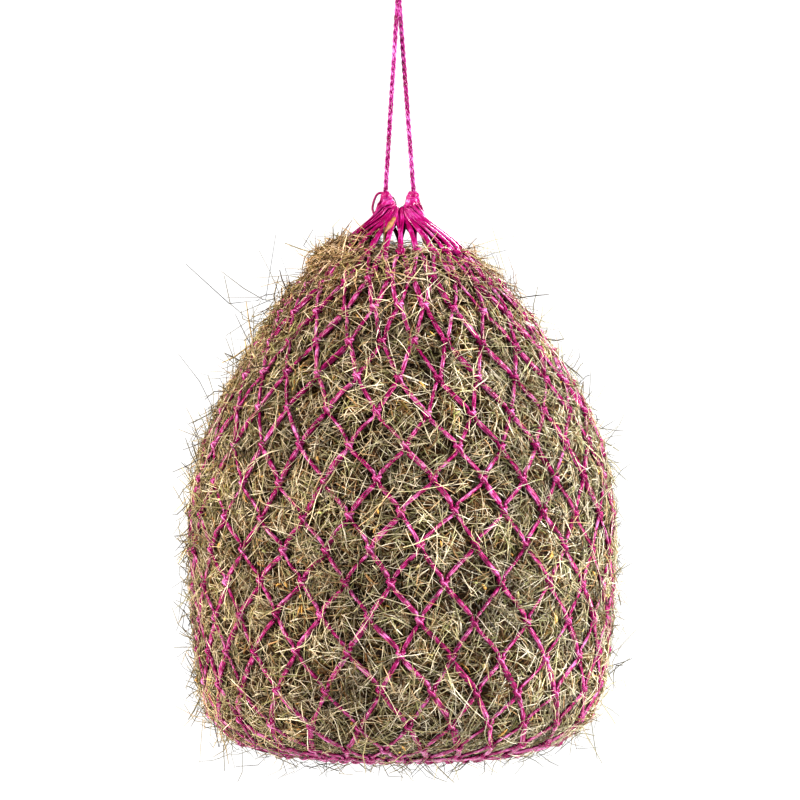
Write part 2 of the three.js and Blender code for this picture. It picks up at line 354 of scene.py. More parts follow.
soft_light("left_light", (-3.1, -1.0, 0.4), 0.6, 262, (1.0, 0.94, 0.85))
soft_light("right_light", (3.1, -0.9, 0.1), 0.6, 330, (1.0, 0.98, 0.94))
soft_light("top_light", (-0.7, -2.5, 2.7), 0.4, 92, (1.0, 0.98, 0.97))
soft_light("low_light", (0.4, -2.3, -1.22), 0.5, 10)
soft_light("back_light", (0.8, 2.8, 0.6), 1.4, 75)


def studio_world():
    """White behind the object, and a dimmer light from all round."""
    world = bpy.data.worlds.new("studio")
    world.use_nodes = True
    nodes, links = world.node_tree.nodes, world.node_tree.links
    background = nodes["Background"]
    background.inputs["Color"].default_value = (1, 1, 1, 1)
    seen = nodes.new("ShaderNodeLightPath").outputs["Is Camera Ray"]
    strength = nodes.new("ShaderNodeMapRange")
    links.new(seen, strength.inputs["Value"])
    strength.inputs["To Min"].default_value = AMBIENT
    strength.inputs["To Max"].default_value = 1.0
    links.new(strength.outputs["Result"], background.inputs["Strength"])
    bpy.context.scene.world = world


studio_world()


# ---------------------------------------------------------------- materials
class Shader:
    """A material's node tree, with short ways to add and join nodes."""

    def __init__(self, name):
        self.material = bpy.data.materials.new(name)
        self.material.use_nodes = True
        self.tree = self.material.node_tree
        self.surface = self.tree.nodes["Principled BSDF"]

    def put(self, socket, value):
        if isinstance(value, bpy.types.NodeSocket):
            self.tree.links.new(value, socket)
        elif value is not None:
            socket.default_value = value

    def set(self, **values):
        for name, value in values.items():
            self.put(self.surface.inputs[name.replace("_", " ")], value)

    def node(self, kind, inputs=None, **settings):
        """A new node with its settings, and a value or a socket for each of its inputs."""
        made = self.tree.nodes.new("ShaderNode" + kind)
        for name, value in settings.items():
            setattr(made, name, value)
        for name, value in (inputs or {}).items():
            self.put(made.inputs[name], value)
        return made

    def math(self, operation, first, second=None, third=None):
        return self.node("Math", {0: first, 1: second, 2: third}, operation=operation).outputs[0]

    def attribute(self, name, output):
        return self.node("Attribute", attribute_name=name).outputs[output]

    def stretched(self, vector, scale):
        """A vector with its three numbers scaled apart."""
        return self.node("VectorMath", {0: vector, 1: scale}, operation="MULTIPLY").outputs[0]

    def split(self, vector):
        return self.node("SeparateXYZ", {0: vector}).outputs

    def place(self, scale=(1, 1, 1)):
        """Object coordinates, scaled."""
        coordinates = self.node("TexCoord").outputs["Object"]
        return self.node("Mapping", {"Vector": coordinates, "Scale": scale}).outputs[0]

    def noise(self, vector, scale, detail=3.0, roughness=0.55):
        inputs = {"Vector": vector, "Scale": scale, "Detail": detail, "Roughness": roughness}
        return self.node("TexNoise", inputs).outputs["Fac"]

    def ramp(self, factor, stops):
        made = self.node("ValToRGB", {"Fac": factor})
        elements = made.color_ramp.elements
        while len(elements) < len(stops):
            elements.new(0.5)
        for element, (place, colour) in zip(elements, stops):
            element.position = place
            element.color = (*colour, 1)
        return made.outputs["Color"]

    def multiply(self, first, second):
        """Two colours multiplied. The node's inputs 6 and 7 are its two colours."""
        inputs = {"Factor": 1.0, 6: first, 7: second}
        return self.node("Mix", inputs, data_type="RGBA", blend_type="MULTIPLY").outputs[2]

    def bump(self, height, strength, distance):
        made = self.node("Bump", {"Height": height, "Strength": strength, "Distance": distance})
        self.put(self.surface.inputs["Normal"], made.outputs[0])


def plait_pattern(shader, period, strands):
    """Height of a fine plait, from 0 in the gaps to 1 on the yarns."""
    along, cosine, sine = shader.split(shader.attribute("lay", "Vector"))
    turn = shader.math("MULTIPLY", shader.math("ARCTAN2", sine, cosine), strands)
    run = shader.math("MULTIPLY", along, 2 * math.pi / period)
    right = shader.math("SINE", shader.math("ADD", run, turn))
    left = shader.math("SINE", shader.math("SUBTRACT", run, turn))
    return shader.math("MULTIPLY_ADD", shader.math("MULTIPLY", right, left), 0.5, 0.5)


MOTTLE_SCALE = 55  # blotches along the twine, for each metre
STREAK_STRETCH = (0.09, 1.1, 1.1)  # streaks run along the yarn: slow along it, quick across it
MOTTLE_WEIGHT = 1.7
# PLAIT_WEIGHT: how far the plait's gaps are painted darker and its yarn tops paler, as painted shade
# and painted highlight
PLAIT_WEIGHT = 0.3
STREAK_WEIGHT = 2.0
DARKENING = 1.55
TONE_STOPS = (0.02, 0.38, 0.55, 0.93)


def pink_rope(name, deep, bright, pale, period, strands, bump):
    """Glossy plaited yarn: streaks along the yarns, a fine plait, painted shade in the creases
    between turns, and a painted highlight in its palest tone.
    """
    shader = Shader(name)
    plait = plait_pattern(shader, period, strands)
    mottle = shader.noise(shader.place(), MOTTLE_SCALE)
    streak = shader.noise(shader.stretched(shader.attribute("lay", "Vector"), STREAK_STRETCH), 1.0)
    level = shader.math("MULTIPLY", plait, PLAIT_WEIGHT)
    level = shader.math("MULTIPLY_ADD", mottle, MOTTLE_WEIGHT, level)
    level = shader.math("MULTIPLY_ADD", streak, STREAK_WEIGHT, level)
    # Painted light and shade: each point's painted shading darkens the tone, and the palest tone is a
    # painted highlight.
    dark = shader.math("ADD", shader.attribute("crease", "Fac"), DARKENING)
    level = shader.math("SUBTRACT", level, dark)
    colour = shader.ramp(level, list(zip(TONE_STOPS, (deep, bright, bright, pale))))
    shader.set(Base_Color=colour, Roughness=shader.math("MULTIPLY_ADD", mottle, 0.28, 0.10))
    shader.set(Specular_IOR_Level=0.27)
    shader.bump(shader.math("MULTIPLY_ADD", streak, 1.2, plait), 0.8, bump)
    return shader.material


# Each pink has its deepest tone, painted shade in creases and plait gaps as well as the yarn's own
# darker streaks, its usual tone, and its palest tone, a painted highlight.
TWINE_PINKS = (0.034, 0.0002, 0.008), (0.225, 0.003, 0.082), (0.55, 0.175, 0.40)
MOUTH_PINKS = (0.17, 0.0005, 0.052), (0.25, 0.001, 0.09), (0.42, 0.05, 0.26)
CORD_PINKS = (0.135, 0.0008, 0.045), (0.265, 0.011, 0.16), (0.60, 0.22, 0.52)
twine_material = pink_rope("netting_twine", *TWINE_PINKS, period=3.2, strands=4, bump=0.0006)
mouth_material = pink_rope("mouth_twine", *MOUTH_PINKS, period=3.2, strands=4, bump=0.0004)
cord_material = pink_rope("drawcord_rope", *CORD_PINKS, period=4.0, strands=5, bump=0.0003)


STALK_SHADE = (0.70, 0.68, 0.60)
# Painted shade: the near-black tones of the core that shows between the stalks.
CORE_SHADE_TONES = [
    (0.3, (0.012, 0.004, 0.001)), (0.55, (0.04, 0.020, 0.006)),
    (0.8, (0.11, 0.065, 0.025)),
]


def hay_material():
    """Dry stalks: each has its own tint, with darker and paler stretches."""
    shader = Shader("hay_stalks")
    tint = shader.attribute("tint", "Color")
    streak = shader.noise(shader.place(), 90, 2)
    fade = shader.ramp(streak, [(0.3, STALK_SHADE), (0.7, (1.0, 1.0, 1.0))])
    shader.set(Base_Color=shader.multiply(tint, fade), Roughness=0.5)
    shader.set(Specular_IOR_Level=0.25)
    return shader.material


def shaded_core_material():
    """Painted shade: a dark tangle that shows between the stalks, standing in for the shadow deep in
    the hay.
    """
    shader = Shader("shaded_hay_core")
    tangle = shader.noise(shader.place((1, 1, 2.5)), 90, 6, 0.7)
    shader.set(Base_Color=shader.ramp(tangle, CORE_SHADE_TONES), Roughness=0.9)
    shader.bump(tangle, 1.0, 0.006)
    return shader.material


stalk_material = hay_material()
hay_core_shade_material = shaded_core_material()


def finish_piece(piece, material, slot, body, *nodes):
    """Give a piece its material and body, and hide the CAD nodes that it stands for."""
    piece.data.materials.append(material)
    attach(piece, body)
    if nodes:
        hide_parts(*nodes)
    return piece


# ---------------------------------------------------------------- drawcord
PLAIT_PITCH = 27.0  # along the cord, for a yarn to come back to its place
PLAIT_SPREAD = 1.5  # each yarn's sway to the sides
PLAIT_LIFT = 0.62 * PLAIT_SPREAD  # and its rise over the others
PLAIT_YARN = 1.32
YARN_FLATNESS = 1.12
# painted shade in the plait's creases: how strongly it grows with depth into the cord, and where it
# starts
PLAIT_SHADE = 2.0
PLAIT_SHADE_START = 0.38
INTO_KNOT = (0, 0, -9)  # how far the loop's ends run on into the knot
KNOT_WIDTH = 5.0
KNOT_WAVE = 2.3
KNOT_DEPTH = 0.85
KNOT_HEIGHT = 5.2
EXIT_ABOVE = 15  # the bend where a leg leaves the knot, above and below its middle
EXIT_BELOW = 10
EXIT_STRAIGHT = 4
EXIT_LEAN = 0.4
EXIT_BLEND = 9
LEG_FACE = (0.25, -1, 0)


def add_plait(gathered, centres, outward, rings_per_mm=0.8):
    """Three yarns plaited along a centreline. Returns their path."""
    length = distances(np.asarray(centres, float))[-1]
    path = evenly(centres, max(8, int(length * rings_per_mm)))
    along = unit(np.gradient(path, axis=0))
    out = np.asarray(outward, float)
    out = unit(out - (out * along).sum(-1, keepdims=True) * along)
    side = np.cross(out, along)
    run = distances(path)
    yarns = []
    for yarn in range(3):
        phase = 2 * math.pi * (run / PLAIT_PITCH + yarn / 3)
        sway = PLAIT_SPREAD * np.sin(phase)[:, None] * side
        lift = PLAIT_LIFT * np.sin(2 * phase)[:, None] * out
        yarns.append(path + sway + lift)
    yarns = np.stack(yarns)
    swept = sweep(yarns, out, YARN_FLATNESS * PLAIT_YARN, PLAIT_YARN, 8)
    points = swept[0].reshape(3, len(path), -1, 3)
    # Painted shade: points deeper in the cord, towards its axis, are painted darker.
    depth = CORD_RADIUS - np.linalg.norm(points - path[None, :, None], axis=-1).ravel()
    gathered.add(swept, np.clip(PLAIT_SHADE * depth / CORD_RADIUS - PLAIT_SHADE_START, 0, 1))
    return path


def cord_piece(name, node, route, outward):
    """A length of the plaited cord, held taut."""
    gathered = Gathered()
    path = add_plait(gathered, route, outward)
    piece = gathered.piece(name)
    piece.data.materials.append(cord_material)
    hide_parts(node)
    return piece


def cord_leg(name, node, side, mouth_end):
    """From the mouth up to the knot."""
    top = np.array(SWING_CENTRE, float) + (0, side * LEGS_APART, 0)
    piece = cord_piece(name, node, [mouth_end, top], LEG_FACE)
    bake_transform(piece)


cord_leg("drawcord_leg_left", "drawcord_left_leg", -1, MOUTH_ROUTE[0])
cord_leg("drawcord_leg_right", "drawcord_right_leg", 1, MOUTH_ROUTE[-1])


def hanging_loop():
    """The loop that goes over a hook, with both ends run into the knot."""
    first, last = (tuple(np.add(place, INTO_KNOT)) for place in (LOOP_ROUTE[0], LOOP_ROUTE[-1]))
    route = spline([first, *LOOP_ROUTE, last])
    piece = cord_piece("hanging_loop_rope", "hanging_loop", route, (0, -1, 0.01))
    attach(piece, "hook_loop")


def mouth_run():
    """The drawcord's run through the loops of the mouth."""
    gathered = Gathered()
    add_plait(gathered, spline(MOUTH_ROUTE), (0, -1, 0.01))
    piece = gathered.piece("mouth_run_rope")
    finish_piece(piece, cord_material, "drawcord_rope", "filled_net", "drawcord_mouth_run")


hanging_loop()
mouth_run()


def knot_turns():
    """The doubled cord's crossing turns in the knot below the loop."""
    t = np.linspace(0, 2 * math.pi, 90)
    middle = KNOT_WIDTH + KNOT_WAVE * np.cos(3 * t)
    x = middle * np.cos(2 * t)
    y = KNOT_DEPTH * middle * np.sin(2 * t)
    return np.stack([x, y, KNOT_MIDDLE + KNOT_HEIGHT * np.sin(3 * t)], axis=1)


def loop_knot():
    """The knot's turns, and the drawcord's two cut ends."""
    gathered = Gathered()
    turns = knot_turns()
    outward = unit(turns - np.array([0, 0, KNOT_MIDDLE]))
    gathered.add(sweep(turns[None], outward[None], CORD_RADIUS, CORD_RADIUS, 10))
    for route in TAIL_ROUTES:
        add_plait(gathered, spline(route), (0, -1, 0.2))
    piece = gathered.piece("loop_knot_rope")
    finish_piece(piece, cord_material, "drawcord_rope", "cord_knot", "loop_knot")


loop_knot()


def knot_exits():
    """Where the two legs come out of the knot."""
    gathered = Gathered()
    for side, mouth_end in ((-1, MOUTH_ROUTE[0]), (1, MOUTH_ROUTE[-1])):
        centre = np.array(SWING_CENTRE, float) + (0, side * LEGS_APART, 0)
        down = unit(np.array(mouth_end) - centre)
        top = centre + (0, -EXIT_LEAN * side, EXIT_ABOVE)
        route = spline([top, centre + (0, 0, EXIT_STRAIGHT), centre + EXIT_BELOW * down], 12)
        add_plait(gathered, route[::-1], LEG_FACE, rings_per_mm=1.4)
    piece = gathered.piece("loop_knot_exits")
    piece.data.materials.append(cord_material)
    top, bottom = SWING_CENTRE[2] + EXIT_BLEND, SWING_CENTRE[2] - EXIT_BLEND
    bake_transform(piece)


knot_exits()

# ---------------------------------------------------------------- netting
NET_LIFT = 1.8  # the twine's middle stands this far out of the bag's surface
TWINE_WIDE = 3.2  # half widths of the flat twine: its face, and turned to its edge
TWINE_NARROW = 2.25
TWINE_THICK = 2.0
# painted highlight on bars turned to their edge, and slight painted shade on bars that show their
# face, split at PALE_FROM
EDGE_HIGHLIGHT_PAINT = 0.08
PALE_FROM = 0.7
FLAT_TURN = 1.4  # how quickly bars turn from face to edge round the front of the bag
FLAT_LEAN = 0.15
BAR_RINGS = 9
BAR_SIDES = 8
BAR_BOW = 0.8
KNOT_SIZE = 1.12
KNOT_TWINE = 2.15
KNOT_FLATNESS = 0.85
KNOT_SIDES = 7
# painted shade in the middle of each knot: how strongly it grows, and its greatest amount
KNOT_SEAT = 1.5  # the sections of a knot face away from a point this far behind it
KNOT_SHADE = 0.5
DEEPEST_KNOT_SHADE = 0.16
# A sheet-bend knot in local axes: x round the bag, y out of it, z up its side.
KNOT_EXIT = (3.2, 0.0, 6.6)
KNOT_BIGHT = [
    (-3.2, 0, 6.6), (-2.6, 0.5, 3.6), (-2.3, 0.9, 0.2), (-1.7, 1.3, -2.8),
    (0, 1.5, -4.2), (1.7, 1.3, -2.8), (2.3, 0.9, 0.2), (2.6, 0.5, 3.6), (3.2, 0, 6.6),
]
KNOT_WRAP = [
    (-3.2, 0, -6.6), (-2.0, -0.7, -4.2), (-0.8, -0.8, -1.8), (-0.4, 1.6, 0.2),
    (0.6, 3.2, 1.8), (3.4, 2.0, 2.6), (3.4, -1.4, 3.0), (0, -2.4, 3.2),
    (-3.4, -1.2, 2.6), (-3.8, 1.6, 1.6), (-1.4, 3.4, -0.2), (1.4, 3.0, -2.0),
    (3.0, 1.2, -4.6), (3.2, 0, -6.6),
]


def local_to_bag(points, centre, axes):
    """Points in the knots' own axes, placed at each knot."""
    around, up, outward = axes
    x, y, z = np.asarray(points, float).T[:, None, :, None] * KNOT_SIZE
    return centre[:, None] + x * around[:, None] + y * outward[:, None] + z * up[:, None]


def knots_of(row):
    """The middles of one row's knots, and their axes."""
    distance, angle = knot_places(row)
    axes = surface_axes(distance, angle)
    return surface_point(distance, angle) + NET_LIFT * axes[2], axes


def add_knots(gathered, centre, axes):
    """A bight of the upper twine, with the lower twine wrapped through and round it."""
    for shape, rings in ((KNOT_BIGHT, 15), (KNOT_WRAP, 28)):
        local = evenly(spline(shape, 12), rings)
        paths = local_to_bag(local, centre, axes)
        ring_out = paths - (centre - KNOT_SEAT * axes[2])[:, None]
        swept = sweep(paths, ring_out, KNOT_TWINE, KNOT_FLATNESS * KNOT_TWINE, KNOT_SIDES)
        points = swept[0].reshape(len(centre), -1, 3) - centre[:, None]
        # Painted shade: the middle of each knot is painted darker.
        deep = 0.45 - np.linalg.norm(points, axis=-1).ravel() / 10
        gathered.add(swept, np.clip(KNOT_SHADE * deep, 0, DEEPEST_KNOT_SHADE))


def add_bars(gathered, start, end, outward, rng, flat_on):
    """Bars of flat braid: bowed a little by the hay, and turning as they run.

    flat_on, 0 to 1, is how far each bar shows its wide face instead of its edge; the more it shows
    its edge, the paler it is painted, as a painted highlight.
    """
    width = TWINE_NARROW + (TWINE_WIDE - TWINE_NARROW) * flat_on
    t = np.linspace(0, 1, BAR_RINGS)
    bars = len(start)
    arch = np.sin(math.pi * t)[None, :, None]
    across = unit(np.cross(outward, end - start))
    paths = start[:, None] + (end - start)[:, None] * t[None, :, None]
    bow = BAR_BOW + 0.5 * rng.standard_normal((bars, 1, 1))
    paths = paths + bow * arch * outward[:, None]
    paths = paths + 0.7 * rng.standard_normal((bars, 1, 1)) * arch * across[:, None]
    arch = arch[..., 0]
    turned = 0.3 * rng.standard_normal((bars, 1)) + 0.5 * rng.standard_normal((bars, 1)) * arch
    half = width * (1 + 0.12 * rng.standard_normal((bars, 1))) * (1 + 0.1 * arch)
    swept = sweep(paths, outward[:, None], half, TWINE_THICK, BAR_SIDES, turned)
    # Painted light and shade: bars turned to their edge are painted paler, bars that show their face
    # a little darker.
    gathered.add(swept, np.repeat(EDGE_HIGHLIGHT_PAINT * (flat_on - PALE_FROM), BAR_SIDES * BAR_RINGS))


def net_row(row):
    """One row of half meshes: two bars down from each knot, and the knots that they meet at."""
    rng = np.random.default_rng(100 + row)
    upper, upper_axes = knots_of(row)
    lower, lower_axes = knots_of(row + 1)
    gathered = Gathered()
    x, y, z = KNOT_EXIT
    for side in (-1, 1):
        # In an even row the knot below and to the left has the same number less one.
        shift = (side - 1) // 2 + row % 2
        target = np.roll(lower, -shift, axis=0)
        target_axes = [np.roll(axis, -shift, axis=0) for axis in lower_axes]
        start = local_to_bag([(side * x, y, -z)], upper, upper_axes)[:, 0]
        end = local_to_bag([(-side * x, y, z)], target, target_axes)[:, 0]
        rightward = upper[:, :1] / np.linalg.norm(upper[:, :2], axis=1, keepdims=True)
        flat_on = np.clip(0.5 + side * (FLAT_TURN * rightward + FLAT_LEAN), 0, 1)
        add_bars(gathered, start, end, unit(upper_axes[2] + target_axes[2]), rng, flat_on)
    add_knots(gathered, lower, lower_axes)
    number = f"{row + 1:02d}"
    piece = gathered.piece(f"netting_row_{number}")
    finish_piece(piece, twine_material, "netting_twine", "filled_net", f"net_row_{number}")


for row in range(LAST_ROW):
    net_row(row)

MOUTH_RINGS = 15  # in each strand from the drawcord to a first knot
MOUTH_TWINE = 2.9
MOUTH_THICK = 0.8 * TWINE_THICK
WRAP_RINGS = 9
WRAP_REACH = 100  # degrees round the drawcord, each way
STRAND_MIDDLE = (0, 0, -460)  # strands face away from here
PULL_DOWN = (0, 0, -30)
SLACK_RINGS = 40
SLACK_SIDES = 8
# painted shade: the slack strand is painted a little darker than the other strands
SLACK_SHADE = 0.1


def bezier(start, first, second, end, count):
    """A cubic curve from start to end, leaving towards first and arriving from second."""
    t = np.linspace(0, 1, count)[:, None]
    s = 1 - t
    return s**3 * start + 3 * s**2 * t * first + 3 * s * t**2 * second + t**3 * end


def mouth_strand(tip, end, end_up, arm_down):
    """From a loop's turn on the drawcord, down along the bunch and out to a first knot."""
    reach = np.linalg.norm(end - tip)
    behind = np.clip(end[1] / 60, 0, 1)
    steep = unit(0.5 * arm_down + (0, 0, -0.8))
    first = tip + reach * ((0.22 + 0.25 * behind) * steep + 0.10 * unit(end - tip))
    second = end + 0.4 * reach * unit(end_up + (0, 0, 0.55))
    return bezier(tip, first, second, end, MOUTH_RINGS)[1:]


def mouth_row():
    """The loops strung on the drawcord: over the cord, and down to the first row of knots."""
    rng = np.random.default_rng(99)
    route = evenly(spline(MOUTH_ROUTE), 200)
    run = distances(route) / distances(route)[-1]
    centre, axes = knots_of(0)
    gathered = Gathered()
    wrap = np.radians(np.linspace(-WRAP_REACH, WRAP_REACH, WRAP_RINGS))[:, None]
    for loop in range(MESHES_ROUND):
        spread = 2 * (loop + 0.5) / MESHES_ROUND - 1
        share = 0.5 + 0.42 * np.sign(spread) * abs(spread) ** 0.74
        middle = np.array([np.interp(share, run, route[:, axis]) for axis in range(3)])
        ahead = np.array([np.interp(share + 0.02, run, route[:, axis]) for axis in range(3)])
        along = unit(ahead - middle)
        knots = (loop, (loop + 1) % MESHES_ROUND)
        ends = [
            local_to_bag([(0.8 * side, 0.3, 5.6)], centre, axes)[knot, 0]
            for knot, side in zip(knots, (-1, 1))
        ]
        ups = [axes[1][knot] for knot in knots]
        pull = (ends[0] + ends[1]) / 2 - middle + PULL_DOWN
        pull = unit(pull - (pull @ along) * along)
        across = np.cross(along, pull)
        if (ends[1] - ends[0]) @ across < 0:
            ends, ups = ends[::-1], ups[::-1]
        reach = CORD_RADIUS + 1.5 + 1.6 * (loop % 2) + 0.5 * rng.random()
        arc = middle - reach * np.cos(wrap) * pull + 0.85 * reach * np.sin(wrap) * across
        first = mouth_strand(arc[0], ends[0], ups[0], pull)
        second = mouth_strand(arc[-1], ends[1], ups[1], pull)
        path = np.vstack([first[::-1], arc, second])
        out = np.vstack(
            [unit(first[::-1] - STRAND_MIDDLE), arc - middle, unit(second - STRAND_MIDDLE)]
        )
        turned = 0.3 * rng.standard_normal()
        from_cord = np.abs(distances(path) - distances(path)[len(first) + len(arc) // 2])
        sideways = abs(math.sin(math.pi * spread))
        half = MOUTH_TWINE * (0.85 + 0.75 * sideways + 0.3 * np.exp(-((from_cord / 35) ** 2)))
        gathered.add(sweep(path[None], out[None], half[None], MOUTH_THICK, BAR_SIDES, turned))
    add_knots(gathered, centre, axes)
    slack = evenly(spline(SLACK_ROUTE), SLACK_RINGS)
    # Painted shade on the slack strand.
    shade = np.full(SLACK_RINGS * SLACK_SIDES, SLACK_SHADE)
    gathered.add(sweep(slack[None], np.array([0.1, -1, 0.1]), 1.5, 1.0, SLACK_SIDES), shade)
    piece = gathered.piece("netting_mouth_loops")
    finish_piece(piece, mouth_material, "netting_twine", "filled_net", "mouth_row")


mouth_row()


PUCKER_RADIUS = 9.0
PUCKER_RINGS = 10
PUCKER_SIDES = 7
GATHER_TURNS = 2.1


def bottom_row():
    """The last bars, gathered to a pucker on the cord that closes the underside."""
    centre, axes = knots_of(LAST_ROW)
    distance, angle = knot_places(LAST_ROW)
    low = centre[:, 2].mean()
    gathered = Gathered()
    for side in (-0.5, 0.5):
        ring_angle = angle + side * 0.55 * MESH_ANGLE
        ends = bag_point(PUCKER_RADIUS, low + 1.5, ring_angle)
        ends[:, 2] += 1.6 * np.sin(5 * angle + 3 * side)
        start = local_to_bag([(6 * side, 0, -6)], centre, axes)[:, 0]
        t = np.linspace(0, 1, PUCKER_RINGS)
        paths = start[:, None] + (ends - start)[:, None] * t[None, :, None]
        gathered.add(sweep(paths, np.array([0, 0, -1.0]), TWINE_WIDE, TWINE_THICK, PUCKER_SIDES))
    piece = gathered.piece("netting_bottom_pucker")
    finish_piece(piece, twine_material, "netting_twine", "filled_net", "bottom_row")
    t = np.linspace(0, 2 * math.pi * GATHER_TURNS, 90)
    coil = np.stack([7.5 * np.cos(t), 7.2 * np.sin(t), low - 0.5 + 0.9 * np.sin(0.5 * t)], axis=1)
    cord = Gathered()
    add_plait(cord, coil, (0.01, 0.02, -1))
    piece = cord.piece("bottom_gather_rope")
    finish_piece(piece, cord_material, "netting_twine", "filled_net", "bottom_gather_cord")


bottom_row()

# ---------------------------------------------------------------- hay
CREASE_DEPTH = 5.0  # how far the twine presses into the hay
CREASE_WIDTH = 3.0
SWELL = 12.0  # how far the hay swells out in a mesh
SMALL_SWELL = 2.5
CORE_DEPTH = 9.0  # the core's surface lies this far under the stalks
CORE_ROWS = 210
CORE_COLUMNS = 400
LEFT_HEAP = 15
RIGHT_HEAP = 5
CAP_DEPTH = 2.2  # hay under the netting stays this far under the bag's surface at the twine
CAP_RISE = 0.55
CAP_IN_MOUTH = 12
HAY_MARGIN = 23.0  # no stalk goes further out of the CAD model's box
LOW_CORNER = np.array(cad_box[0]) / MM - HAY_MARGIN
HIGH_CORNER = np.array(cad_box[1]) / MM + HAY_MARGIN


def mesh_cell(distance, angle):
    """Where a place lies in its mesh.

    Returns its distance from the nearest twine in millimetres, its share of the way in to the
    middle and the mesh's two numbers.
    """
    row = np.interp(distance, KNOT_ROWS, np.arange(len(KNOT_ROWS)))
    nominal = angle - knot_turn(row, angle)
    shifted = distance - knot_slide(np.clip(np.rint(row), 1, LAST_ROW - 1), nominal)
    row = np.interp(shifted, KNOT_ROWS, np.arange(len(KNOT_ROWS)))
    mesh = (nominal - BACK) / MESH_ANGLE
    first, second = mesh + row / 2, mesh - row / 2
    half = math.pi * mean_radius(distance) / MESHES_ROUND
    spacing = 2 * half * np.sqrt(np.maximum(BAR**2 - half**2, 100)) / BAR
    share = 2 * np.minimum(np.abs(first - np.rint(first)), np.abs(second - np.rint(second)))
    swell = np.abs(np.sin(math.pi * first) * np.sin(math.pi * second))
    numbers = [np.floor(way).astype(int) % MESHES_ROUND for way in (first, second)]
    return share * spacing / 2, swell, numbers


mesh_fill = np.random.default_rng(5).normal(1.0, 0.35, (MESHES_ROUND, MESHES_ROUND)).clip(0.35, 1.7)


def pillow(distance, angle):
    """How far the hay stands out: creased under the twine, and swollen in each mesh."""
    _, swell, (first, second) = mesh_cell(distance, angle)
    in_net = np.clip((distance + 5) / 50, 0, 1) * np.clip((height_at(distance) + 1003) / 70, 0.2, 1)
    lumps = np.sin(distance / 9 + 11 * angle) * np.sin(17 * angle - distance / 14)
    rise = SWELL * mesh_fill[first, second] * swell**0.8 + SMALL_SWELL * lumps * swell
    return -CREASE_DEPTH + in_net * rise + heap(distance, angle)


def heap(distance, angle):
    """Hay pushed up against the strands at the left and right of the mouth."""
    left = np.exp(-((np.cos(angle) + 0.95) / 0.45) ** 2) * np.exp(-(((distance + 12) / 30) ** 2))
    right = np.exp(-((np.cos(angle) - 0.95) / 0.3) ** 2) * np.exp(-((distance / 30) ** 2))
    return LEFT_HEAP * left + RIGHT_HEAP * right


def twine_cap(distance, angle):
    """The greatest height for hay that lies under the netting."""
    near, _, _ = mesh_cell(distance, angle)
    free = np.clip((-distance - 10) / 30, 0, 1)
    return -CAP_DEPTH + CAP_RISE * np.maximum(near - CREASE_WIDTH, 0) + CAP_IN_MOUTH * free


def shaded_hay_core():
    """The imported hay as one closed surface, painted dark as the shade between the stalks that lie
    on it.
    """
    distance = np.linspace(TOP_CENTRE, PROFILE_AT[-1], CORE_ROWS)
    angle = 2 * math.pi * np.arange(CORE_COLUMNS) / CORE_COLUMNS
    grid = np.meshgrid(distance, angle, indexing="ij")
    _, _, outward = surface_axes(*grid)
    rise = np.minimum(pillow(*grid), twine_cap(*grid)) - CORE_DEPTH
    points = surface_point(*grid) + rise[..., None] * outward
    index = np.arange(CORE_ROWS * CORE_COLUMNS).reshape(CORE_ROWS, CORE_COLUMNS)
    after = np.roll(index, -1, axis=1)
    quads = np.stack([index[:-1], index[1:], after[1:], after[:-1]], axis=-1).reshape(-1, 4)
    top = np.full(CORE_COLUMNS, index.size)
    tips = np.array([points[0].mean(0), points[-1].mean(0)])
    caps = [
        np.stack([top, index[0], after[0]], axis=1),
        np.stack([top + 1, after[-1], index[-1]], axis=1),
    ]
    all_points = np.vstack([points.reshape(-1, 3), tips])
    piece = make_piece("shaded_hay_core", all_points, [quads, *caps])
    finish_piece(piece, hay_core_shade_material, "hay", "filled_net", "hay_fill")


shaded_hay_core()

# Colours of single stalks, with how many stalks have each.
HAY_TINTS = [
    ((0.60, 0.55, 0.46), 12), ((0.47, 0.40, 0.29), 19), ((0.36, 0.31, 0.20), 19),
    ((0.30, 0.29, 0.16), 17), ((0.20, 0.20, 0.08), 11), ((0.25, 0.15, 0.07), 10),
    ((0.42, 0.26, 0.13), 5), ((0.12, 0.06, 0.02), 9), ((0.05, 0.022, 0.006), 8),
]
# Painted shade: the lowest stalks, under the others, get darker tints as if in their shadow.
SHADED_UNDER_TINTS = [
    ((0.17, 0.085, 0.03), 4), ((0.12, 0.08, 0.02), 3), ((0.07, 0.03, 0.006), 4),
    ((0.16, 0.14, 0.04), 2),
]
BRIGHT_TINTS = [
    ((0.64, 0.60, 0.51), 4), ((0.60, 0.54, 0.42), 5), ((0.50, 0.48, 0.30), 3),
    ((0.56, 0.40, 0.24), 1),
]
CROWN_TINTS = [
    ((0.66, 0.61, 0.48), 4), ((0.47, 0.39, 0.24), 5), ((0.32, 0.24, 0.12), 4),
    ((0.25, 0.25, 0.11), 4), ((0.11, 0.07, 0.03), 5),
]
LEAF_TINTS = [
    ((0.62, 0.36, 0.10), 4), ((0.55, 0.46, 0.20), 3), ((0.34, 0.36, 0.14), 2),
    ((0.40, 0.22, 0.08), 2),
]
DARK_TINTS = [
    ((0.10, 0.09, 0.05), 4), ((0.20, 0.18, 0.10), 3), ((0.05, 0.04, 0.03), 3),
    ((0.30, 0.26, 0.15), 2),
]
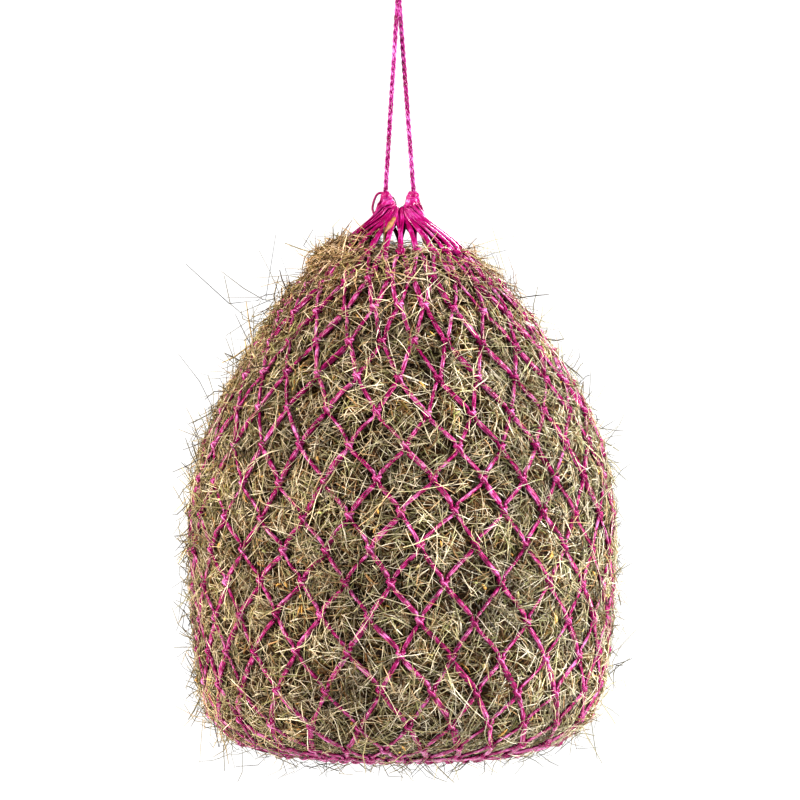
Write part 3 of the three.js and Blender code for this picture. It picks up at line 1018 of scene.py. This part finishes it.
# How the stalks' colours differ on the crown and on the left.
CROWN_BROWN = np.array([0.02, -0.09, -0.08])
LEFT_YELLOW = np.array([-0.02, -0.11, -0.20])
TWINE_SHADE_TONE = 0.6  # painted shade: the hay is painted darker under the twine, and as light as elsewhere this far from it
TWINE_SHADE_REACH = 11.0
STALK_RINGS = 4
STALK_SIDES = 3
MOST_STALKS = 9500  # in one piece
TUFT_WIDTH = 6.0
NEAR_AXIS = 30  # stalks close to the axis curve as they do at this radius
LEFT = math.pi
FRONT = -0.5 * math.pi
BARE_ANGLE = FRONT + 0.75
BARE_DISTANCE = 40
BARE_SHARE = 0.8
UNDERSIDE = 630  # down to here, hay lies over the netting
LEAF_ROUTE = [
    (-6, -28, -352), (-10, -33, -359), (-14, -39, -366), (-17, -43, -375), (-19, -44, -384),
]
LEAF_WIDTH = 4.0
LEAF_SIDES = 8
LEAF_COLOUR = (0.27, 0.13, 0.035)


def scatter(count, rng, low, high, side=None):
    """Places spread evenly over the bag's surface, between two distances down it.

    side, an angle and a spread, keeps them near one side of the bag.
    """
    table = np.linspace(low, high, 400)
    share = np.cumsum(np.maximum(radius_at(table), 4.0))
    distance = np.interp(rng.random(count) * share[-1], share, table)
    if side is None:
        return distance, 2 * math.pi * rng.random(count)
    return distance, side[0] + side[1] * rng.standard_normal(count)


def lying(distance, angle):
    """The way the hay lies at a place: stalks near each other share it."""
    turn = 2.1 * np.sin(3 * angle + distance / 47) + 1.9 * np.sin(distance / 29 - 5 * angle)
    return turn + 1.6 * np.sin(8 * angle + distance / 19) + 1.3 * np.sin(distance / 13 + 13 * angle)


def patchiness(distance, angle):
    """Broad lighter and darker patches of hay, painted lighter in a band high on the bag and less so
    low down, with a browner crown and a yellower left side.
    """
    patch = np.sin(distance / 37 + 4 * angle) * np.sin(6 * angle - distance / 61)
    patch = patch + 0.7 * np.sin(distance / 17 - 9 * angle) * np.sin(13 * angle + distance / 23)
    # Painted light: the hay is painted lighter in a band high on the bag and, less, in one low down.
    upper = np.exp(-(((distance - 100) / 90) ** 2))
    lower = np.exp(-(((distance - 590) / 90) ** 2))
    tone = np.exp(0.24 * patch + 0.11 * upper + 0.04 * lower - 0.03)
    crown = np.exp(-((distance / 100) ** 2))
    leftward = ((1 - np.cos(angle)) / 2) ** 2
    return tone[:, None] * (1 + crown[:, None] * CROWN_BROWN + leftward[:, None] * LEFT_YELLOW)


def bareness(distance, angle):
    """The share of the loose hay that has fallen off the netting, most on the right shoulder."""
    from_middle = np.angle(np.exp(1j * (angle - BARE_ANGLE)))
    return BARE_SHARE * np.exp(-((from_middle / 0.55) ** 2) - ((distance - BARE_DISTANCE) / 60) ** 2)


def tinted(count, rng, tints, bright):
    """A colour for each stalk, picked from the tints by their shares."""
    palette = np.array([colour for colour, _ in tints])
    shares = np.array([share for _, share in tints], float)
    pick = rng.choice(len(palette), count, p=shares / shares.sum())
    tone = bright * np.exp(0.15 * rng.standard_normal(count))
    colours = np.ones((count, 4))
    colours[:, :3] = (palette[pick] * tone[:, None]).clip(0, 0.9)
    return colours


def varied(middle, spread, rng, count, least, most):
    """A size for each stalk, from least to most times the middle one."""
    return middle * np.exp(spread * rng.standard_normal(count)).clip(least, most)[:, None]


def stalk_places(count, rng, low, high, side, tuft):
    distance, angle = scatter(count // tuft, rng, low, high, side)
    if tuft == 1:
        return distance, angle
    distance, angle = np.repeat(distance, tuft), np.repeat(angle, tuft)
    distance = distance + TUFT_WIDTH * rng.standard_normal(len(distance))
    apart = TUFT_WIDTH * rng.standard_normal(len(angle))
    return distance, angle + apart / np.maximum(radius_at(distance), NEAR_AXIS)


def stalk_curves(heading, reach, bend, rng):
    """Each stalk's run round the bag and up it, and the distance from its middle."""
    count = len(reach)
    straight = np.linspace(-0.5, 0.5, STALK_RINGS)[None] * reach
    curve = bend * rng.standard_normal((count, 1)) * (straight**2 - reach**2 / 12)
    curve = curve + 0.012 * reach * rng.standard_normal((count, STALK_RINGS))
    x = straight * np.cos(heading) - curve * np.sin(heading)
    y = straight * np.sin(heading) + curve * np.cos(heading)
    return x, y, straight


def stalk_pieces(name, paths, outward, half, flat, turned, colours):
    """Stalks as one piece, or as a few of equal size where there are many."""
    parts = math.ceil(len(paths) / MOST_STALKS)
    for part in range(parts):
        some = slice(part * len(paths) // parts, (part + 1) * len(paths) // parts)
        points, faces, lay = sweep(
            paths[some], outward[some], half[some], flat * half[some], STALK_SIDES, turned[some]
        )
        tint = np.repeat(colours[some], STALK_RINGS * STALK_SIDES, axis=0)
        label = name if parts == 1 else f"{name}_{part + 1}"
        piece = make_piece(label, points, faces, lay=lay, tint=tint)
        finish_piece(piece, stalk_material, "hay", "filled_net")


def stalks(name, count, seed, length, width, stand, under_net=True, bend=0.006, slope=0.15,
           tilt=0.0, flat=0.55, bright=1.0, unruly=0.8, tints=HAY_TINTS, low=TOP_CENTRE,
           high=PROFILE_AT[-1], side=None, tuft=1, ends=(0.6, 1.0, 1.0, 0.6)):
    """Loose stalks lying on the hay, or over the netting.

    length and width are a middle value and a spread, stand is how far they lie over the hay, bend
    is how curved they are, slope how far they tip either way, tilt how steeply they rise out of
    the hay and unruly how far they turn away from their neighbours. tuft is how many stalks spring
    from about the same place, and ends is the width at each ring. bright scales their colours:
    below 1 it is painted shade, above 1 painted light.
    """
    rng = np.random.default_rng(seed)
    distance, angle = stalk_places(count, rng, low, high, side, tuft)
    count = len(distance)
    reach = varied(*length, rng, count, 0.3, 2.6)
    heading = (lying(distance, angle) + unruly * rng.standard_normal(count))[:, None]
    if tuft == 1:
        heading = heading + math.pi * (rng.random(count)[:, None] > 0.5)
    x, y, straight = stalk_curves(heading, reach, bend, rng)
    rise = stand[0] + (stand[1] - stand[0]) * rng.random((count, 1))
    rise = rise + slope * rng.standard_normal((count, 1)) * straight
    rise = rise + tilt * np.abs(rng.standard_normal((count, 1))) * (straight + 0.5 * reach)
    rise = rise + 0.5 * bend * rng.standard_normal((count, 1)) * straight**2
    rise = rise + 0.015 * reach * rng.standard_normal((count, STALK_RINGS))
    local_radius = np.maximum(radius_at(distance), NEAR_AXIS)[:, None]
    if under_net:
        there = distance[:, None] - y, angle[:, None] + x / local_radius
        rise = np.minimum(rise + pillow(*there), twine_cap(*there))
    around, up, outward = surface_axes(distance, angle)
    paths = surface_point(distance, angle)[:, None] + x[..., None] * around[:, None]
    paths = paths + y[..., None] * up[:, None]
    drop = x**2 / (2 * local_radius)
    paths = paths + (rise - drop)[..., None] * outward[:, None]
    kept = ((paths > LOW_CORNER) & (paths < HIGH_CORNER)).all(axis=(1, 2))
    half = varied(0.5 * width[0], width[1], rng, count, 0.5, 2.2) * np.array(ends)
    turned = math.pi * rng.random((count, 1))
    colours = tinted(count, rng, tints, bright)
    colours[:, :3] *= patchiness(distance, angle)
    if under_net:
        # Painted shade: stalks near the twine are painted darker.
        near, _, _ = mesh_cell(distance, angle)
        clear_of_twine_shade = np.clip(near / TWINE_SHADE_REACH, 0, 1)
        colours[:, :3] *= (TWINE_SHADE_TONE + (1 - TWINE_SHADE_TONE) * clear_of_twine_shade)[:, None]
    elif side is None:
        kept = kept & (rng.random(count) > bareness(distance, angle))
    outward = outward[kept, None]
    stalk_pieces(name, paths[kept], outward, half[kept], flat, turned[kept], colours[kept])


def over_net(name, count, seed, length, width, stand, **looks):
    """Stalks that lie over the netting, or stick out through it."""
    stalks(name, count, seed, length, width, stand, under_net=False, **looks)


# The under layer's darker tints and each layer's bright factor are painted shade and light: deeper
# layers darker, the top layer lighter.
stalks("hay_under", 18000, 11, (30, 0.4), (1.8, 0.35), (-10, -4), unruly=1.2, tints=SHADED_UNDER_TINTS)
stalks("hay_mat", 15000, 12, (24, 0.45), (1.3, 0.35), (-5, 1), bright=0.85, slope=0.2,
       bend=0.004)
stalks("hay_top", 12000, 16, (23, 0.5), (1.05, 0.35), (-1, 4), bright=1.15, slope=0.25,
       bend=0.004, unruly=1.0)
stalks("hay_straws", 3400, 21, (30, 0.4), (1.2, 0.25), (0, 4), tints=BRIGHT_TINTS, bend=0.002,
       slope=0.2)
over_net("hay_over", 3200, 13, (24, 0.45), (0.95, 0.25), (3.8, 7), tints=BRIGHT_TINTS,
         bend=0.003, high=UNDERSIDE)
over_net("hay_wisps", 3000, 14, (20, 0.4), (0.85, 0.3), (0, 4), bend=0.012, tilt=0.4, low=5,
         high=UNDERSIDE)
over_net("hay_dark_wisps", 2000, 17, (28, 0.4), (1.2, 0.25), (0, 4), bend=0.022, tilt=0.65,
         tints=DARK_TINTS, low=5, high=UNDERSIDE)
over_net("hay_tufts", 4000, 18, (19, 0.4), (0.95, 0.3), (-4, 3), bend=0.010, tilt=0.34, tuft=16,
         low=5, high=UNDERSIDE)
over_net("hay_cover", 1500, 24, (20, 0.4), (1.05, 0.3), (2.5, 6), tuft=12, unruly=1.0, low=20,
         high=UNDERSIDE - 30)
over_net("hay_left_cover", 1500, 25, (19, 0.4), (1.1, 0.3), (0, 7), bend=0.012, slope=0.3,
         tuft=5, unruly=1.7, low=15, high=200, side=(LEFT + 0.1, 0.36), tints=CROWN_TINTS,
         bright=0.8)
over_net("hay_mouth", 1300, 19, (26, 0.45), (1.35, 0.3), (-3, 9), slope=0.25, unruly=1.5,
         low=-12, high=50, tints=CROWN_TINTS)
over_net("hay_shoulder", 1500, 20, (19, 0.45), (1.15, 0.3), (-4, 16), bend=0.014, slope=0.35,
         tilt=0.3, tuft=4, unruly=1.7, low=-42, high=24, side=(LEFT, 0.5), tints=CROWN_TINTS,
         bright=0.9)
over_net("hay_right_shoulder", 360, 22, (24, 0.4), (0.9, 0.3), (-2, 8), bend=0.014, tilt=0.45,
         tuft=12, unruly=0.7, low=-5, high=70, side=(0.0, 0.45))
over_net("hay_side_tufts", 600, 23, (18, 0.4), (1.5, 0.4), (0, 5), bend=0.012, tilt=0.35,
         tuft=20, unruly=0.9, low=60, high=420, side=(LEFT, 0.25), tints=CROWN_TINTS)
over_net("hay_long_straws", 260, 26, (42, 0.3), (1.5, 0.25), (4, 7.5), tints=BRIGHT_TINTS,
         bend=0.001, slope=0.04)
over_net("hay_side_curls", 280, 27, (38, 0.35), (1.2, 0.2), (0, 3), bend=0.03, tilt=0.5,
         tints=DARK_TINTS, low=60, side=(LEFT, 0.3))
over_net("hay_bottom_curls", 220, 28, (32, 0.3), (1.0, 0.2), (0, 2), bend=0.03, tilt=0.8,
         tints=DARK_TINTS, low=UNDERSIDE)
over_net("hay_low_cover", 420, 29, (20, 0.4), (1.05, 0.3), (2.5, 6), bend=0.008, tuft=6,
         unruly=1.0, low=545, high=650, side=(FRONT - 0.1, 0.45))
over_net("hay_bulge", 300, 30, (20, 0.4), (1.05, 0.3), (2.5, 6), tuft=10, unruly=1.0, low=325,
         high=440, side=(FRONT - 0.35, 0.16))
stalks("hay_leaves", 700, 15, (9, 0.4), (3.4, 0.3), (2, 6), flat=0.12, tints=LEAF_TINTS,
       bend=0.02, ends=(0.25, 1.0, 0.85, 0.15))


def mouth_leaf():
    """A dry golden leaf caught among the strands of the mouth."""
    path = spline(LEAF_ROUTE, 4)
    t = np.linspace(0, 1, len(path))
    half = LEAF_WIDTH * np.sin(math.pi * (0.10 + 0.84 * t)) ** 0.9 * (1 + 0.16 * np.sin(23 * t))
    out = np.array([0.25, -1, 0.1])
    points, faces, lay = sweep(path[None], out, half[None], 0.5, LEAF_SIDES, 0.9 * t[None])
    shade = 0.8 + 0.35 * np.sin(37 * t)[:, None] * np.cos(np.arange(LEAF_SIDES) * math.pi / 2)
    tint = np.ones((len(points), 4))
    tint[:, :3] = shade.reshape(-1, 1) * LEAF_COLOUR
    piece = make_piece("hay_mouth_leaf", points, faces, lay=lay, tint=tint)
    finish_piece(piece, stalk_material, "hay", "filled_net")


mouth_leaf()

# ---------------------------------------------------------------- floor
FLOOR_DROP = 0.30  # metres under the bag
FLOOR_RADIUS = 1.5
FLOOR_SIDES = 96


def floor():
    """A pale round floor, so far under the net that the camera sees only its colour."""
    shader = Shader("studio_floor")
    grain = shader.noise(shader.place(), 12, 2)
    colour = shader.ramp(grain, [(0.0, (0.78, 0.78, 0.78)), (1.0, (0.84, 0.84, 0.84))])
    shader.set(Base_Color=colour, Roughness=0.8)
    turn = np.linspace(0, 2 * math.pi, FLOOR_SIDES, endpoint=False)
    rim = np.stack([np.cos(turn), np.sin(turn), 0 * turn], axis=1) * FLOOR_RADIUS / MM
    rim[:, 2] = (cad_box[0][2] - FLOOR_DROP) / MM
    piece = make_piece("studio_floor", rim, [np.arange(FLOOR_SIDES)[None]])
    piece.data.materials.append(shader.material)


floor()
